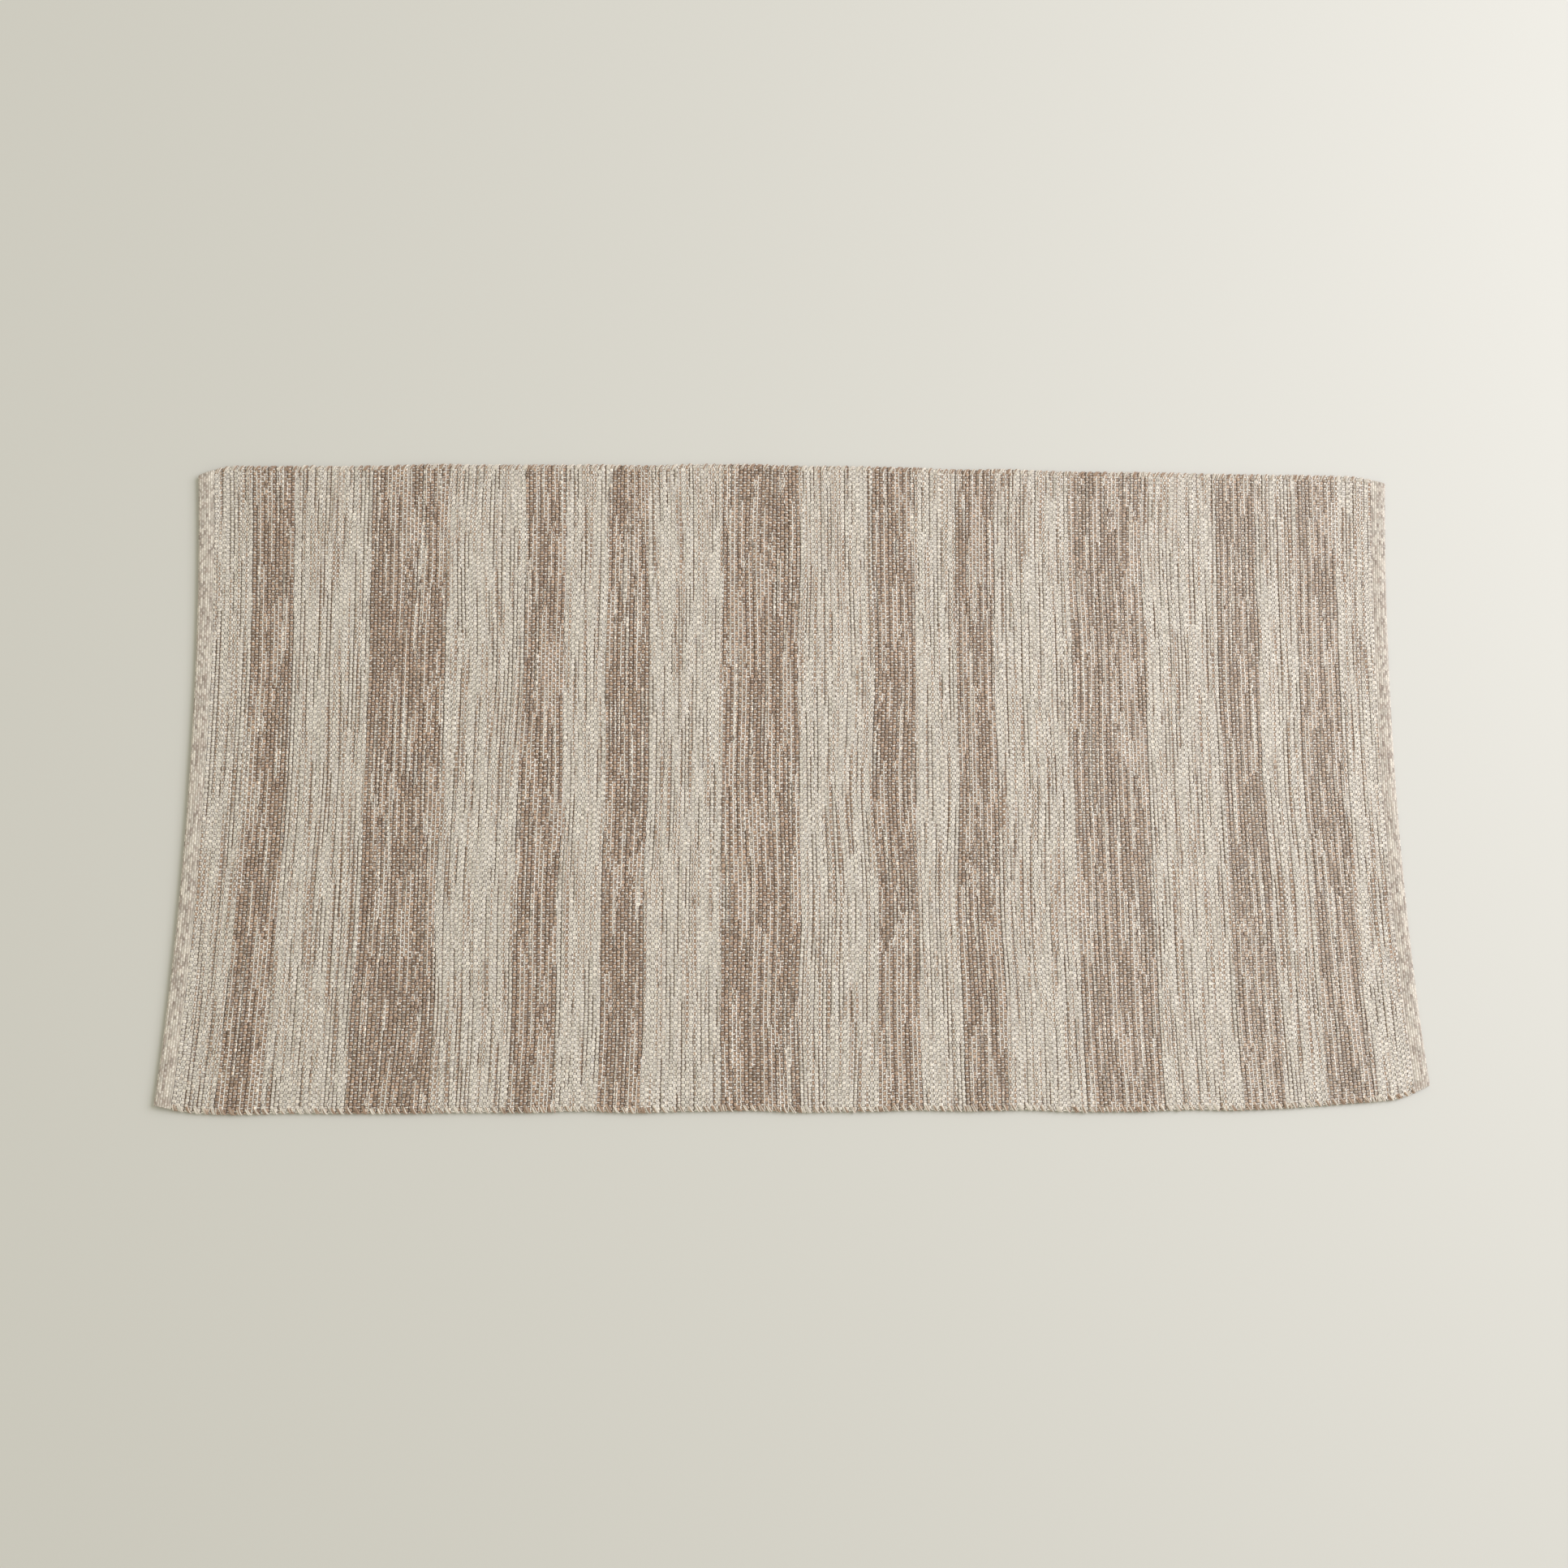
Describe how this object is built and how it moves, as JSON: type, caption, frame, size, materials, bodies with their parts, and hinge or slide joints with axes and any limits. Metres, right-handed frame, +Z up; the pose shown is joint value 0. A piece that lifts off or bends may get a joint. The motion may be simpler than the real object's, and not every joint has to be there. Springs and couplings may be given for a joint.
{
  "type": "bath mat",
  "caption": "Flatwoven cotton bath mat with cream and taupe stripes across it, turned selvedges and a sewn hem at each end; both ends fold over the middle.",
  "frame": {"origin": "middle of the mat's underside, on the surface that it lies on", "axes": "+X along the mat's length from the left hem to the right hem, +Y across it from the front selvedge to the back selvedge, +Z up"},
  "size_m": [1.1336, 0.616, 0.0051],
  "materials": {
    "cream_yarn": "matt heathered cream cotton weft, slubby",
    "taupe_yarn": "matt heathered taupe cotton weft, flecked with cream",
    "warp_yarn": "matt cream cotton warp",
    "hem_cloth": "matt finer woven cream cotton, folded under",
    "sewing_thread": "matt cream sewing thread"
  },
  "bodies": {
    "middle": {"weft_band_05_cream": "cream_yarn", "weft_band_06_taupe": "taupe_yarn", "weft_band_07_cream": "cream_yarn", "weft_band_08_taupe": "taupe_yarn", "weft_band_09_cream": "cream_yarn", "weft_band_10_taupe": "taupe_yarn", "weft_band_11_cream": "cream_yarn", "weft_band_12_taupe": "taupe_yarn", "weft_band_13_cream": "cream_yarn", "weft_band_14_taupe": "taupe_yarn", "weft_band_15_cream": "cream_yarn", "weft_band_16_taupe": "taupe_yarn", "middle_warps": "warp_yarn", "middle_back_edge_cord": "warp_yarn", "middle_front_edge_cord": "warp_yarn"},
    "left_flap": {"weft_band_01_cream": "cream_yarn", "weft_band_02_taupe": "taupe_yarn", "weft_band_03_cream": "cream_yarn", "weft_band_04_taupe": "taupe_yarn", "left_warps": "warp_yarn", "left_back_edge_cord": "warp_yarn", "left_front_edge_cord": "warp_yarn", "left_hem": "hem_cloth", "left_seam_top_thread": "sewing_thread", "left_seam_under_thread": "sewing_thread"},
    "right_flap": {"weft_band_17_cream": "cream_yarn", "weft_band_18_taupe": "taupe_yarn", "weft_band_19_cream": "cream_yarn", "weft_band_20_taupe": "taupe_yarn", "weft_band_21_cream": "cream_yarn", "right_warps": "warp_yarn", "right_back_edge_cord": "warp_yarn", "right_front_edge_cord": "warp_yarn", "right_hem": "hem_cloth", "right_seam_top_thread": "sewing_thread", "right_seam_under_thread": "sewing_thread"}
  },
  "joints": [
    {"name": "left_fold", "type": "hinge", "parent": "middle", "child": "left_flap", "pos_m": [-0.33464, 0, 0.0056], "axis": [0, 1, 0], "range_deg": [0, 180]},
    {"name": "right_fold", "type": "hinge", "parent": "middle", "child": "right_flap", "pos_m": [0.32752, 0, 0.0056], "axis": [0, -1, 0], "range_deg": [0, 180]}
  ]
}
